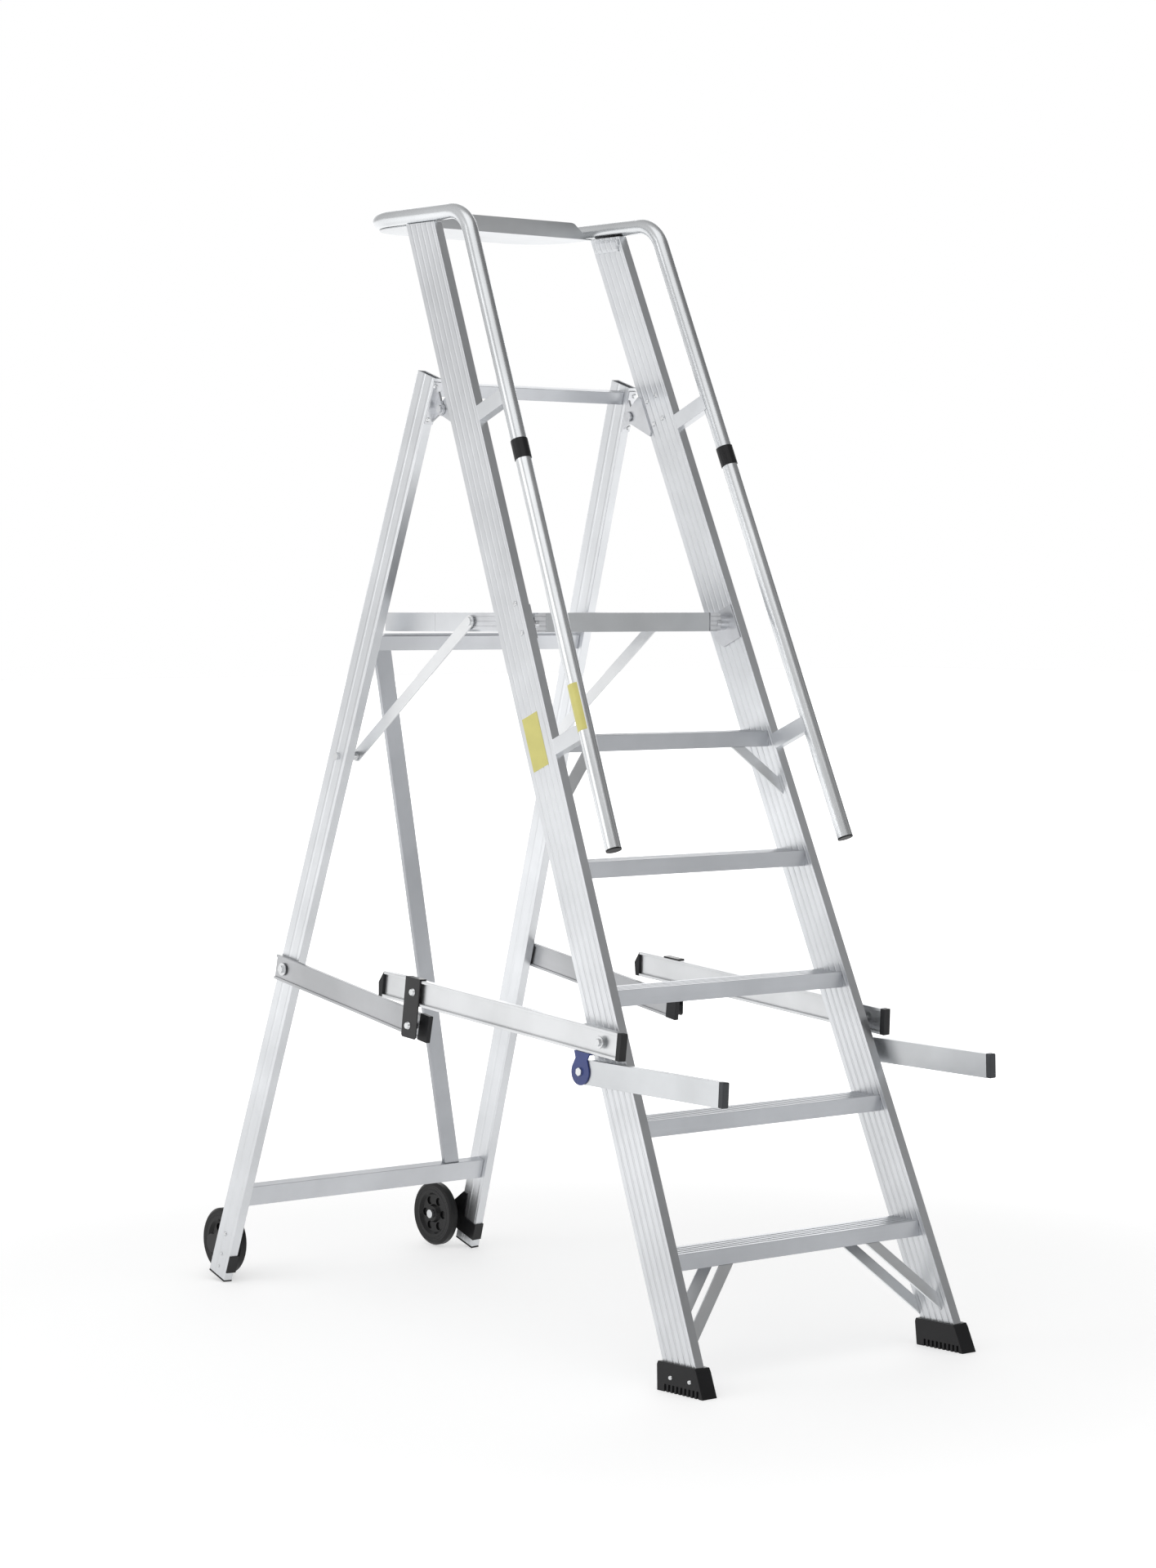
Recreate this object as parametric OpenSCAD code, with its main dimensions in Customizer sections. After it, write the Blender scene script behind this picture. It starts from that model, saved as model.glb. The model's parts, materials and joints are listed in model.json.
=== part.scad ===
// Folding platform step ladder: a climbing frame with five treads, a rear frame on two wheels,
// a folding platform, side handrails that join in a top hoop with a tool tray, spreader bars
// with a hinged link on each side, and two carrying handles.
// Millimetres. X is across, Y runs back from the climbing side, Z is up, and the floor is Z = 0.

/* [Overall] */
// Height from one tread top to the next
riser = 250; // [246:1:252]
// Height of the lowest tread top above the floor
first_tread = 260; // [256:1:264]
// Half the width over the side frames at floor level
half_foot_width = 365.3; // [362:0.1:369]
// Lean of the climbing side from upright, in degrees
stile_lean = 22.61; // [22.5:0.01:22.7]
// Lean of the rear legs from upright, in degrees
leg_lean = 18.64; // [18.5:0.01:18.8]
// Inward tilt of both side frames, in degrees
side_tilt = 2.43; // [2.4:0.01:2.5]

/* [Profiles] */
// Depth of a stile from front to back
stile_depth = 90; // [86:1:92]
// Thickness of the stiles and the rear legs across the ladder
beam_thick = 22; // [21:0.5:22]
// Depth of a rear leg
leg_depth = 62; // [58:1:62]
// Wall of the hollow stiles and legs
wall = 2.5; // [2:0.1:3.5]
// Outer diameter of the handrail tube
rail_dia = 33; // [31:0.5:34]
// Height of the spreader bars
bar_height = 55; // [50:1:56]
// Height of the carrying handles
handle_height = 50; // [44:1:50]

/* [Platform] */
// Depth of the platform side from its lower to its upper edge
deck_height = 40; // [38:1:42]
// Half the width of the platform
deck_half = 245; // [243:0.5:245]

/* [Wheels] */
// Wheel diameter over the tyre
wheel_dia = 150; // [144:1:150]
// Width of the tyre
wheel_width = 25; // [22:0.5:26]

/* [Hidden] */
$fn = 64;

aluminium_grey = [0.80, 0.81, 0.83];
shade_grey = [0.62, 0.64, 0.67];
black_plastic = [0.08, 0.08, 0.09];
bracket_blue = [0.22, 0.29, 0.55];
label_yellow = [0.78, 0.76, 0.43];
zinc_grey = [0.70, 0.71, 0.72];

reach = 3000;                                   // longer than any piece, for cutting blocks
stile_run = tan(stile_lean) / cos(side_tilt);   // how far back a stile goes per unit of height
leg_run = tan(leg_lean) / cos(side_tilt);
stile_across = stile_depth / cos(stile_lean);   // stile depth measured level
platform_top = first_tread + 5 * riser + 1;
deck_bottom = platform_top - deck_height;

// Rear frame hinge, platform pivot and brace pin, in Y and Z
hinge_z = 1940.6;
hinge_behind = 132.6;                           // hinge pin behind the stile's front face
hinge_y = hinge_z * stile_run + hinge_behind / cos(stile_lean);
leg_gap = 22.6;                                 // hinge pin ahead of the leg's front face
leg_foot_y = hinge_y + hinge_z * leg_run + leg_gap / cos(leg_lean);
pivot_z = platform_top - 23.3;
pivot_behind = 36.5;
pivot_y = pivot_z * stile_run + pivot_behind / cos(stile_lean);
arm_reach = 200;                                // platform pivot to brace pin
arm_rise = 1.5;                                 // degrees
pin_y = pivot_y + arm_reach * cos(arm_rise);
pin_z = pivot_z + arm_reach * sin(arm_rise);
brace_foot_v = 1256;                            // brace bolt, up the leg and behind its front
brace_foot_q = 30;
brace_y = leg_foot_y - brace_foot_v * sin(leg_lean) + brace_foot_q * cos(leg_lean);
brace_z = (brace_foot_v * cos(leg_lean) + brace_foot_q * sin(leg_lean)) * cos(side_tilt);
pin_radius = 6;
bore_radius = 6.06;

// Layers outward from the side frame's outer face
rear_bar_in = 1.5;
rear_bar_out = 11;
forward_bar_in = 14.5;
knee_spacer_in = 13;                            // clear of the rear bar all through the fold
forward_bar_out = 31.5;
link_out = 34.5;
blue_in = 32;
blue_out = 35;

// Spreader pivots in the side frame's own plane
stile_pivot_v = 729;
stile_pivot_q = 28;
leg_pivot_v = 752;
leg_pivot_q = 34.5;
spread_y = stile_pivot_q * cos(stile_lean) + stile_pivot_v * sin(stile_lean);
spread_w = stile_pivot_v * cos(stile_lean) - stile_pivot_q * sin(stile_lean);
spread_back_y = leg_foot_y - leg_pivot_v * sin(leg_lean) + leg_pivot_q * cos(leg_lean);
spread_back_w = leg_pivot_v * cos(leg_lean) + leg_pivot_q * sin(leg_lean);
bar_slope = 4.8;
bar_front = -51.5;                              // forward bar's front end from its pivot
bar_rear = 722;
link_t = 616;                                   // link's middle, back from the pivot
knee_t = 620;
knee_drop = 72.1;                               // knee bolt below the forward bar's middle
link_half = 25;
link_low = 98;
knee_y = spread_y + knee_t * cos(bar_slope) + knee_drop * sin(bar_slope);
knee_w = spread_w + knee_t * sin(bar_slope) - knee_drop * cos(bar_slope);
rear_slope = atan2(spread_back_w - knee_w, spread_back_y - knee_y);
rear_bar_length = 541;
rear_bar_tail = 29;
grip_t = 47.6;                                  // handle pivot back from the forward bar's pivot
grip_drop = 67.3;
handle_slope = 0.8;
handle_length = 410;
handle_cap_length = 12;
lobe_radius = 27;

// Handrail in the side frame's plane
rail_behind = -101.6;
rail_u = -4.4;
rail_radius = rail_dia / 2;
rail_wall = 2;
rail_bottom_v = 1088;
sleeve_v = 1937;
sleeve_length = 43;
joint_v = 1958;
hoop_z = 2354;
hoop_w = (hoop_z - rail_u * sin(side_tilt)) / cos(side_tilt);
hoop_x = half_foot_width + rail_u * cos(side_tilt) - hoop_w * sin(side_tilt);
bend_radius = 75;
bend_angle = 90 - stile_lean;
bend_tangent = bend_radius * tan(bend_angle / 2);
bend_v = (hoop_w + rail_behind * sin(stile_lean)) / cos(stile_lean);
bend_y = rail_behind * cos(stile_lean) + bend_v * sin(stile_lean);
hoop_back_y = 1250;
hoop_corner = 115;
stile_top_z = 2337;

wheel_y = leg_foot_y + 84.9;
wheel_z = wheel_dia / 2 + 3;
wheel_mid = 303;
handle_tip_y = spread_y + grip_t * cos(bar_slope) + grip_drop * sin(bar_slope)
    - (handle_length + handle_cap_length) * cos(handle_slope)
    - handle_height / 2 * sin(handle_slope);
y_shift = -(handle_tip_y + wheel_y + wheel_dia / 2) / 2;

// Leg plug starts just high enough for its inner edge to meet the floor
plug_v = beam_thick * sin(side_tilt) / cos(leg_lean) / cos(side_tilt);
plug_thick = 4;

// ---------- placing helpers ----------

// The right-hand side frame: x outward from its outer face, y back, z up its slope
module in_side() {
    translate([half_foot_width, y_shift, 0]) rotate([0, -side_tilt, 0]) children();
}

module in_stile() {
    in_side() rotate([-stile_lean, 0, 0]) children();
}

module in_leg() {
    in_side() translate([0, leg_foot_y, 0]) rotate([leg_lean, 0, 0]) children();
}

module in_bar() {
    in_side() translate([0, spread_y, spread_w]) rotate([bar_slope, 0, 0]) children();
}

module in_rear_bar() {
    in_side() translate([0, spread_back_y, spread_back_w]) rotate([rear_slope, 0, 0]) children();
}

module in_handle() {
    in_bar() translate([0, grip_t, -grip_drop]) rotate([-bar_slope + handle_slope, 0, 0]) children();
}

module both() {
    children();
    mirror([1, 0, 0]) children();
}

// A flat outline drawn in y and z, given a thickness along x from a start
module plate(start, thick) {
    translate([start, 0, 0]) rotate([90, 0, 90]) linear_extrude(thick) children();
}

// A round bar along x
module pin(start, end, radius, y = 0, z = 0) {
    translate([start, y, z]) rotate([0, 90, 0]) cylinder(r = radius, h = end - start);
}

// Everything between the two side frames, up to a layer measured from their outer faces
module between_sides(layer) {
    low = half_foot_width + layer / cos(side_tilt);
    high = low - reach * tan(side_tilt);
    translate([0, reach, 0]) rotate([90, 0, 0]) linear_extrude(2 * reach)
        polygon([[-low, 0], [low, 0], [high, reach], [-high, reach]]);
}

module below(height) {
    translate([-reach / 2, -reach / 2, height - reach]) cube(reach);
}

// A rivet or bolt head along x, standing out from a start
module head(start, radius, rise, y, z) {
    translate([start, y, z]) rotate([0, 90, 0]) cylinder(r1 = radius, r2 = radius * 0.7, h = rise);
}

module hex_head(start, radius, rise, y, z) {
    translate([start, y, z]) rotate([0, 90, 0]) cylinder(r = radius, h = rise, $fn = 6);
}

// Web with a lip along each edge, centred, drawn in x and y
module channel_outline(width, height, lip, web) {
    half = height / 2;
    difference() {
        translate([0, -half]) square([width, height]);
        translate([-1, lip - half]) square([1 + (width - web) / 2, height - 2 * lip]);
        translate([(width + web) / 2, lip - half]) square([width, height - 2 * lip]);
    }
}

// The same outline run along y from a start
module channel_bar(start_y, length, height, start_x, width) {
    translate([start_x, start_y + length, 0]) rotate([90, 0, 0])
        linear_extrude(length) channel_outline(width, height, 6, 4);
}

// ---------- climbing frame ----------

module stile_outline(low, high, inset) {
    near = inset / cos(stile_lean);
    far = (stile_depth - inset) / cos(stile_lean);
    slope = tan(stile_lean);
    polygon([[low * slope + near, low], [low * slope + far, low],
        [high * slope + far, high], [high * slope + near, high]]);
}

stile_low = 22;
stile_high = stile_top_z / cos(side_tilt);

module stile() {
    color(aluminium_grey) in_side() difference() {
        plate(-beam_thick, beam_thick) stile_outline(stile_low, stile_high, 0);
        plate(wall - beam_thick, beam_thick - 2 * wall) stile_outline(-9, stile_high + 9, wall);
    }
}

module stile_left() {
    mirror([1, 0, 0]) stile();
}

module stile_right() {
    stile();
}

tread_depth = 78;
tread_plate = 4;
tread_lip = 3;
front_lip = 33;
rear_lip = 24;
groove_count = 4;
groove_width = 5;
groove_depth = 1.2;
tread_set = 9;                                  // tread front behind the stile's front face

module tread_outline() {
    difference() {
        union() {
            translate([0, -tread_plate]) square([tread_depth, tread_plate]);
            translate([0, -front_lip]) square([tread_lip, front_lip]);
            translate([tread_depth - tread_lip, -rear_lip]) square([tread_lip, rear_lip]);
        }
        for (i = [0 : groove_count - 1])
            translate([12 + 15 * i, -groove_depth]) square([groove_width, 2 * groove_depth]);
    }
}

function tread_z(i) = first_tread + riser * (i - 1);
function tread_y(i) = tread_z(i) * stile_run + tread_set / cos(stile_lean);

module step(i) {
    color(aluminium_grey) intersection() {
        translate([-reach / 2, tread_y(i) + y_shift, tread_z(i)]) rotate([90, 0, 90])
            linear_extrude(reach) tread_outline();
        between_sides(-beam_thick);
    }
}

module step_1() {
    step(1);
}

module step_2() {
    step(2);
}

module step_3() {
    step(3);
}

module step_4() {
    step(4);
}

module step_5() {
    step(5);
}

gusset_width = 26;
gusset_thick = 4;

// A flat bar at 45 degrees from under a tread out to the stile, cut to both
module gusset(i, behind, lip, inner_x) {
    top = tread_z(i) - lip;
    up = top / cos(stile_lean) / cos(side_tilt);
    intersection() {
        translate([0, y_shift, 0]) rotate([-stile_lean, 0, 0])
            translate([inner_x, behind, up]) rotate([0, -45, 0])
            translate([-gusset_width / 2, 0, -reach / 8])
            cube([gusset_width, gusset_thick, reach / 4]);
        between_sides(-beam_thick);
        below(top);
        translate([inner_x - 2 * gusset_width, -reach / 2, -1]) cube(reach);
    }
}

module gussets() {
    color(aluminium_grey) both() {
        gusset(1, 20.5, front_lip, 209);
        gusset(1, 86, rear_lip, 209);
        gusset(5, 20.5, front_lip, 213);
    }
}

foot_in = -30;
foot_wide = 38;

module front_foot() {
    color(black_plastic) difference() {
        in_side() difference() {
            plate(foot_in, foot_wide)
                polygon([[-12, -9], [125, -9], [129, 50], [126, 57], [18, 57], [13, 50]]);
            plate(-beam_thick, beam_thick) stile_outline(stile_low, 99, 0);
        }
        below(0);
    }
}

module front_foot_left() {
    mirror([1, 0, 0]) front_foot();
}

module front_foot_right() {
    front_foot();
}

module stile_rivets() {
    color(zinc_grey) both() {
        in_stile() {
            for (q = [36, 68], v = [2113, 2167])
                mirror([1, 0, 0]) head(beam_thick, 5.5, 3, q, v);
            for (v = [1601, 1666])
                head(0, 6, 3, 19, v);
        }
        in_side() {
            head(foot_in + foot_wide, 5, 3, 31, 29);
            head(foot_in + foot_wide, 5, 3, 87, 29);
        }
    }
}

module tube_ring() {
    difference() {
        circle(r = rail_radius);
        circle(r = rail_radius - rail_wall);
    }
}

// The hoop is one bent tube: stations along its middle line, each with the directions out of
// the bend and square to it, from the right-hand joint to the middle of the back
function side_point(u, y, w) = [half_foot_width + u * cos(side_tilt) - w * sin(side_tilt),
    y + y_shift, w * cos(side_tilt) + u * sin(side_tilt)];
function side_turn(y, w) = [-w * sin(side_tilt), y, w * cos(side_tilt)];
side_out = [cos(side_tilt), 0, sin(side_tilt)];
bend_steps = 10;
corner_steps = 14;
ring_sides = 24;
joint_y = rail_behind * cos(stile_lean) + joint_v * sin(stile_lean);
joint_w = joint_v * cos(stile_lean) - rail_behind * sin(stile_lean);
right_stations = concat(
    [[side_point(rail_u, joint_y, joint_w), side_out, side_turn(cos(stile_lean), -sin(stile_lean))]],
    [for (i = [0 : bend_steps]) let (a = 90 + bend_angle * (1 - i / bend_steps))
        [side_point(rail_u, bend_y + bend_tangent + bend_radius * cos(a),
            hoop_w - bend_radius + bend_radius * sin(a)), side_out, -side_turn(cos(a), sin(a))]],
    [for (i = [0 : corner_steps]) let (a = 90 * i / corner_steps)
        [[hoop_x - hoop_corner + hoop_corner * cos(a),
            hoop_back_y - hoop_corner + hoop_corner * sin(a) + y_shift, hoop_z],
            [cos(a), sin(a), 0], [0, 0, -1]]]);
function across(p) = [-p[0], p[1], p[2]];
last_station = len(right_stations) - 1;
hoop_stations = concat(right_stations,
    [for (i = [last_station : -1 : 0]) [for (v = right_stations[i]) across(v)]]);
hoop_points = [for (s = hoop_stations) for (k = [0 : ring_sides - 1])
    s[0] + rail_radius * (cos(360 * k / ring_sides) * s[1] + sin(360 * k / ring_sides) * s[2])];
hoop_count = len(hoop_stations);
hoop_sides = [for (i = [0 : hoop_count - 2]) for (k = [0 : ring_sides - 1])
    let (m = (k + 1) % ring_sides, a = i * ring_sides, b = a + ring_sides)
        [a + k, b + k, b + m, a + m]];
hoop_ends = [[for (k = [0 : ring_sides - 1]) k],
    [for (k = [ring_sides - 1 : -1 : 0]) (hoop_count - 1) * ring_sides + k]];

module hoop_rail() {
    color(aluminium_grey) polyhedron(hoop_points, concat(hoop_ends, hoop_sides));
}

module handrail() {
    color(aluminium_grey) in_stile() translate([rail_u, rail_behind, rail_bottom_v])
        linear_extrude(joint_v - rail_bottom_v) tube_ring();
}

module handrail_left() {
    mirror([1, 0, 0]) handrail();
}

module handrail_right() {
    handrail();
}

module rail_sleeves() {
    color(black_plastic) both() in_stile() translate([rail_u, rail_behind, sleeve_v])
        linear_extrude(sleeve_length) difference() {
            circle(r = rail_radius + 1.5);
            circle(r = rail_radius);
        }
}

module rail_end_plugs() {
    color(black_plastic) both() in_stile() translate([rail_u, rail_behind, rail_bottom_v - 3])
        cylinder(r = rail_radius, h = 3);
}

module rail_standoffs() {
    color(aluminium_grey) both() in_stile() difference() {
        for (v = [1328, 2071])
            translate([-beam_thick, rail_behind, v]) cube([beam_thick, -rail_behind, 33]);
        translate([rail_u, rail_behind, 1200]) cylinder(r = rail_radius, h = 1100);
        translate([-60, 2 * rail_behind, 1200]) cube([80, -rail_behind, 1100]);
    }
}

tray_front_y = 1073;
tray_half = 252;
tray_corner = 106;
tray_back_y = 1256;
sheet = 2.5;
tray_margin = 24;                               // flat rim under the hoop round the pressed floor
tray_recess = 1;

module tray_floor() {
    front = tray_front_y + y_shift;
    bend = tray_back_y - tray_corner + y_shift;
    difference() {
        union() {
            translate([-tray_half, front]) square([2 * tray_half, bend - front]);
            translate([tray_corner - tray_half, front])
                square([2 * (tray_half - tray_corner), tray_back_y - tray_front_y]);
            for (side = [-1, 1])
                translate([side * (tray_half - tray_corner), bend]) circle(r = tray_corner);
        }
        translate([-reach, front - reach]) square([2 * reach, reach]);
    }
}

module tool_tray() {
    color(aluminium_grey) {
        translate([0, 0, stile_top_z + 0.5 - sheet]) difference() {
            linear_extrude(sheet) tray_floor();
            translate([0, 0, sheet - tray_recess]) linear_extrude(sheet)
                offset(delta = -tray_margin) tray_floor();
        }
        translate([0, tray_front_y + y_shift, 0]) rotate([90, 0, 0]) linear_extrude(sheet)
            polygon([[-233, 2335], [233, 2335], [228, 2345], [199, 2368], [191, 2370],
                [-191, 2370], [-199, 2368], [-228, 2345]]);
    }
}

hinge_pin_radius = 8;
hinge_plate_thick = 4;
hinge_tip_radius = 14;
hinge_v = (hinge_z / cos(side_tilt) - (-hinge_behind) * sin(stile_lean)) / cos(stile_lean);

module hinge_plates() {
    color(shade_grey) both() {
        in_stile() plate(-beam_thick - hinge_plate_thick, hinge_plate_thick) {
            polygon([[80, 2100], [88, 2093], [hinge_behind + 4, hinge_v - 13.4],
                [hinge_behind + 4, hinge_v + 13.4], [88, 2187], [80, 2180]]);
            translate([hinge_behind, hinge_v]) circle(r = hinge_tip_radius);
        }
        pin(250, 272, hinge_pin_radius, hinge_y + y_shift, hinge_z);
        pin(250, 254, 11, hinge_y + y_shift, hinge_z);
    }
}

pivot_plate_thick = 4;
arm_inner = 246;
arm_outer = 256;

module pivot_brackets() {
    color(shade_grey) both() {
        in_stile() plate(-beam_thick - pivot_plate_thick, pivot_plate_thick)
            polygon([[2, 1584], [60, 1584], [78, 1604], [78, 1650], [68, 1660], [2, 1660]]);
        intersection() {
            pin(arm_outer + 0.5, reach, 14, pivot_y + y_shift, pivot_z);
            between_sides(-beam_thick);
        }
        pin(arm_inner + 0.5, arm_outer + 5, pin_radius, pivot_y + y_shift, pivot_z);
    }
}

module labels() {
    color(label_yellow) mirror([1, 0, 0]) in_stile() {
        translate([0, 27, 1318]) cube([0.6, 50, 115]);
        translate([rail_u, rail_behind, 1340]) rotate([0, 0, -60]) rotate_extrude(angle = 120)
            translate([rail_radius, 0]) square([0.6, 100]);
    }
}

module stile_bolts() {
    color(zinc_grey) both() in_stile() {
        pin(0, forward_bar_in - 0.5, 13, stile_pivot_q, stile_pivot_v);
        pin(forward_bar_in - 1, forward_bar_out + 1, pin_radius, stile_pivot_q, stile_pivot_v);
        pin(forward_bar_out + 0.5, forward_bar_out + 3, 13, stile_pivot_q, stile_pivot_v);
        hex_head(forward_bar_out + 3, 8, 4, stile_pivot_q, stile_pivot_v);
    }
}

// ---------- rear frame ----------

leg_top_v = 2118;

module leg() {
    color(aluminium_grey) in_leg() difference() {
        translate([-beam_thick, 0, plug_v + plug_thick])
            cube([beam_thick, leg_depth, leg_top_v - plug_v - plug_thick]);
        translate([wall - beam_thick, wall, 0])
            cube([beam_thick - 2 * wall, leg_depth - 2 * wall, reach]);
    }
}

module leg_left() {
    mirror([1, 0, 0]) leg();
}

module leg_right() {
    leg();
}

// A bar across the rear frame, cut to the legs, at a height up the legs
module crossbar(v, height, front, depth) {
    color(aluminium_grey) intersection() {
        translate([-reach / 2, leg_foot_y + y_shift, 0])
            rotate([leg_lean, 0, 0]) translate([0, front, v * cos(side_tilt)])
            difference() {
                cube([reach, depth, height]);
                translate([-1, 2, 2]) cube([reach + 2, depth - 4, height - 4]);
            }
        between_sides(-beam_thick);
    }
}

bar_front_q = 12;
bar_depth = 20;
low_bar_v = 181;
low_bar_height = 47;
mid_bar_v = 1505;
mid_bar_height = 33;                             // its top clears the folded-down platform

module top_crossbar() {
    crossbar(2075, 27, bar_front_q, bar_depth);
}

module middle_crossbar() {
    crossbar(mid_bar_v, mid_bar_height, bar_front_q, bar_depth);
}

module bottom_crossbar() {
    crossbar(low_bar_v, low_bar_height, bar_front_q, bar_depth);
}

diagonal_lean = 21.4;
diagonal_width = 39;
diagonal_depth = 12;

module rear_diagonal() {
    low = low_bar_v * cos(side_tilt) + low_bar_height;
    high = mid_bar_v * cos(side_tilt);
    color(aluminium_grey) intersection() {
        translate([0, leg_foot_y + y_shift, 0]) rotate([leg_lean, 0, 0]) intersection() {
            translate([-8, bar_front_q + 4, (low + high) / 2]) rotate([0, -diagonal_lean, 0])
                translate([-diagonal_width / 2, 0, -reach / 2])
                cube([diagonal_width, diagonal_depth, reach]);
            translate([-reach / 2, -reach / 2, low]) cube([reach, reach, high - low]);
        }
        between_sides(-beam_thick);
    }
}

module leg_plugs() {
    color(black_plastic) both() in_leg() translate([-beam_thick, 0, plug_v])
        cube([beam_thick, leg_depth, plug_thick]);
}

hinge_leg_v = (hinge_z / cos(side_tilt) - (-leg_gap) * sin(leg_lean)) / cos(leg_lean);

module hinge_tongues() {
    color(shade_grey) both() difference() {
        in_leg() {
            translate([-beam_thick + 0.5, -4, 2018]) cube([beam_thick - 1, 4, 92]);
            plate(-beam_thick + 0.5, 6) {
                polygon([[-3, 2024], [-leg_gap, hinge_leg_v - 12], [-leg_gap, hinge_leg_v + 12],
                    [-3, 2092]]);
                translate([-leg_gap, hinge_leg_v]) circle(r = 12);
            }
        }
        pin(200, 300, hinge_pin_radius + 0.08, hinge_y + y_shift, hinge_z);
    }
}

module leg_rivets() {
    color(zinc_grey) both() in_leg() {
        for (v = [2028, 2100])
            translate([-6, -4, v]) rotate([90, 0, 0]) cylinder(r1 = 5.5, r2 = 3.9, h = 3);
        head(0, 5.5, 3, 34, 105);
        head(0, 4.5, 2.5, 31, 57);
        head(0, 3.5, 2, 31, 26);
    }
}

bracket_low = 24;
bracket_high = 124;
bracket_thick = 3;
flange_height = 40;                             // flange over the leg's front face
axle_q = (wheel_y - leg_foot_y) * cos(leg_lean) + wheel_z * sin(leg_lean);
axle_v = wheel_z * cos(leg_lean) - (wheel_y - leg_foot_y) * sin(leg_lean);
axle_boss = 20;

// A plate on the leg's inner face that reaches back to the axle, with a flange round the front
module wheel_brackets() {
    color(black_plastic) both() in_leg() {
        plate(-beam_thick - bracket_thick, bracket_thick) {
            polygon([[-bracket_thick, bracket_low], [axle_q, axle_v - axle_boss],
                [axle_q, axle_v + axle_boss], [60, bracket_high], [46, bracket_high],
                [40, bracket_low + flange_height], [-bracket_thick, bracket_low + flange_height]]);
            translate([axle_q, axle_v]) circle(r = axle_boss);
        }
        translate([-beam_thick, -bracket_thick, bracket_low])
            cube([beam_thick, bracket_thick, flange_height]);
    }
}

brace_inner = 259.5;
brace_outer = 263.5;

module leg_bolts() {
    color(zinc_grey) both() {
        // brace bolt: sleeve from the leg, pin through the brace and a low head inside it
        intersection() {
            union() {
                pin(brace_outer + 0.5, reach, 10, brace_y + y_shift, brace_z);
                pin(brace_inner - 1, reach, pin_radius, brace_y + y_shift, brace_z);
                pin(brace_inner - 4, brace_inner - 0.4, 10, brace_y + y_shift, brace_z);
            }
            between_sides(-beam_thick);
        }
        in_leg() {
            hex_head(0, 9, 6, brace_foot_q, brace_foot_v);
            // spreader bolt
            pin(0, rear_bar_in - 0.4, 12, leg_pivot_q, leg_pivot_v);
            pin(0, rear_bar_out + 1, pin_radius, leg_pivot_q, leg_pivot_v);
            pin(rear_bar_out + 0.5, rear_bar_out + 2.5, 14, leg_pivot_q, leg_pivot_v);
            hex_head(rear_bar_out + 2.5, 9, 5, leg_pivot_q, leg_pivot_v);
        }
        // wheel axle: collar from the bracket, axle and nut
        intersection() {
            union() {
                pin(wheel_mid + wheel_width / 2 + 0.5, reach, 10, wheel_y + y_shift, wheel_z);
                pin(wheel_mid - wheel_width / 2 - 3, reach, pin_radius, wheel_y + y_shift, wheel_z);
                pin(wheel_mid - wheel_width / 2 - 7, wheel_mid - wheel_width / 2 - 0.5, 10,
                    wheel_y + y_shift, wheel_z);
            }
            between_sides(-beam_thick - bracket_thick);
        }
    }
}

// ---------- platform ----------

corner_x = 226;
corner_back_y = 690;
deck_front_y = pivot_y - 11.7;
nose = 12;
pan_front_y = 1000.5;
deck_back_y = 1177;

module platform_deck() {
    color(aluminium_grey) translate([0, y_shift, platform_top - 4]) difference() {
        linear_extrude(4) {
            translate([-deck_half + 3, corner_back_y])
                square([2 * deck_half - 6, deck_back_y - 3 - corner_back_y]);
            translate([-corner_x, deck_front_y + nose])
                square([2 * corner_x, corner_back_y - deck_front_y]);
        }
        for (i = [0 : 15])
            translate([-reach / 2, corner_back_y + 10 + 30 * i, 3]) cube([reach, 6, 2]);
    }
}

module platform_side_rails() {
    inner = deck_half - 3;
    color(aluminium_grey) both()
        translate([0, pan_front_y - 0.5 + y_shift, 0]) rotate([90, 0, 0])
        linear_extrude(pan_front_y - 0.5 - corner_back_y)
        polygon([[inner, platform_top], [inner, platform_top - 4], [inner - 20, platform_top - 4],
            [inner - 20, platform_top - 7], [inner, platform_top - 7], [inner, deck_bottom + 3],
            [inner - 20, deck_bottom + 3], [inner - 20, deck_bottom], [deck_half, deck_bottom],
            [deck_half, platform_top]]);
}

module platform_front_bar() {
    color(aluminium_grey) translate([0, deck_front_y + y_shift, deck_bottom]) difference() {
        linear_extrude(deck_height) {
            translate([4 - corner_x, 0]) square([2 * corner_x - 8, nose]);
            translate([-corner_x, 4]) square([2 * corner_x, nose - 4]);
            for (side = [-1, 1])
                translate([side * (corner_x - 4), 4]) circle(r = 4);
        }
        translate([-reach, 3, 3]) cube([2 * reach, nose, deck_height - 6]);
    }
}

module platform_rear_pan() {
    color(aluminium_grey) translate([0, y_shift, deck_bottom]) difference() {
        translate([-deck_half, pan_front_y, 0])
            cube([2 * deck_half, deck_back_y - pan_front_y, deck_height]);
        translate([3 - deck_half, pan_front_y - 1, 3])
            cube([2 * deck_half - 6, deck_back_y - pan_front_y - 2, reach]);
    }
}

arm_radius = 17;

module platform_arms() {
    color(shade_grey) both() {
        difference() {
            translate([0, y_shift, 0]) plate(arm_inner, arm_outer - arm_inner) {
                translate([pivot_y, pivot_z]) circle(r = 14);
                translate([pin_y, pin_z]) circle(r = arm_radius);
                polygon([[deck_front_y, pivot_z - 15], [pin_y, pin_z - arm_radius],
                    [pin_y, pin_z + arm_radius], [deck_front_y, pivot_z + 21]]);
            }
            pin(0, reach, bore_radius, pivot_y + y_shift, pivot_z);
        }
        difference() {
            translate([corner_x + 0.3, deck_front_y + y_shift, deck_bottom])
                cube([arm_inner - corner_x - 0.3, corner_back_y - deck_front_y, deck_height]);
            pin(0, reach, bore_radius + 1, pivot_y + y_shift, pivot_z);
        }
    }
}

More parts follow.
